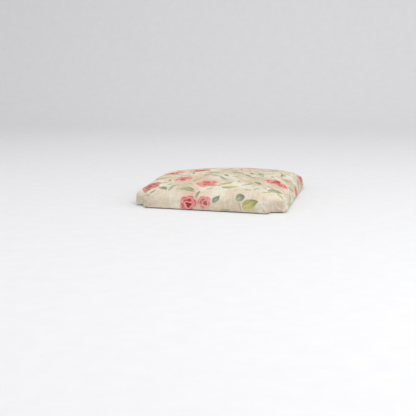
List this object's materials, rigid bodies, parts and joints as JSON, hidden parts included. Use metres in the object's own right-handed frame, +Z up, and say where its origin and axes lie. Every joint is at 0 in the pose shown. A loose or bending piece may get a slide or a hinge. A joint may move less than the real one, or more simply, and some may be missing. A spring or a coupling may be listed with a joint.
{
  "type": "chair seat pad",
  "caption": "Crowned upholstered chair seat pad with corner notches for the posts, built on a plywood board with foam, wadding and a printed cover.",
  "frame": {"origin": "centre of the underside, on the plane that the pad rests on", "axes": "+Z up, front edge towards -Y, +X to the right seen from the front; the pad is the same on both sides of X = 0"},
  "size_m": [0.4012, 0.352, 0.063],
  "materials": {
    "cover": "coarse linen-cotton weave, beige, printed with roses and leaves",
    "wadding": "white polyester fibre",
    "crown_foam": "open-cell foam, cream",
    "foam_core": "open-cell foam, pale yellow",
    "board": "sanded birch plywood, unpainted",
    "dust_cover": "black spunbond non-woven",
    "nut_steel": "zinc-plated",
    "staple_wire": "galvanised wire"
  },
  "bodies": {
    "root": {"cover": "cover", "wadding": "wadding", "crown_foam": "crown_foam", "foam_core": "foam_core", "seat_board": "board", "dust_cover": "dust_cover", "tee_nut_1": "nut_steel", "tee_nut_2": "nut_steel", "tee_nut_3": "nut_steel", "tee_nut_4": "nut_steel", "cover_staple_01": "staple_wire", "cover_staple_02": "staple_wire", "cover_staple_03": "staple_wire", "cover_staple_04": "staple_wire", "cover_staple_05": "staple_wire", "cover_staple_06": "staple_wire", "cover_staple_07": "staple_wire", "cover_staple_08": "staple_wire", "cover_staple_09": "staple_wire", "cover_staple_10": "staple_wire", "cover_staple_11": "staple_wire", "cover_staple_12": "staple_wire", "cover_staple_13": "staple_wire", "cover_staple_14": "staple_wire", "cover_staple_15": "staple_wire", "cover_staple_16": "staple_wire", "cover_staple_17": "staple_wire", "cover_staple_18": "staple_wire", "cover_staple_19": "staple_wire", "cover_staple_20": "staple_wire", "cover_staple_21": "staple_wire", "cover_staple_22": "staple_wire", "cover_staple_23": "staple_wire", "cover_staple_24": "staple_wire", "dust_cover_staple_01": "staple_wire", "dust_cover_staple_02": "staple_wire", "dust_cover_staple_03": "staple_wire", "dust_cover_staple_04": "staple_wire", "dust_cover_staple_05": "staple_wire", "dust_cover_staple_06": "staple_wire", "dust_cover_staple_07": "staple_wire", "dust_cover_staple_08": "staple_wire", "dust_cover_staple_09": "staple_wire", "dust_cover_staple_10": "staple_wire", "dust_cover_staple_11": "staple_wire", "dust_cover_staple_12": "staple_wire", "dust_cover_staple_13": "staple_wire", "dust_cover_staple_14": "staple_wire", "dust_cover_staple_15": "staple_wire", "dust_cover_staple_16": "staple_wire", "dust_cover_staple_17": "staple_wire", "dust_cover_staple_18": "staple_wire", "dust_cover_staple_19": "staple_wire", "dust_cover_staple_20": "staple_wire", "dust_cover_staple_21": "staple_wire", "dust_cover_staple_22": "staple_wire", "dust_cover_staple_23": "staple_wire", "dust_cover_staple_24": "staple_wire"}
  },
  "joints": []
}
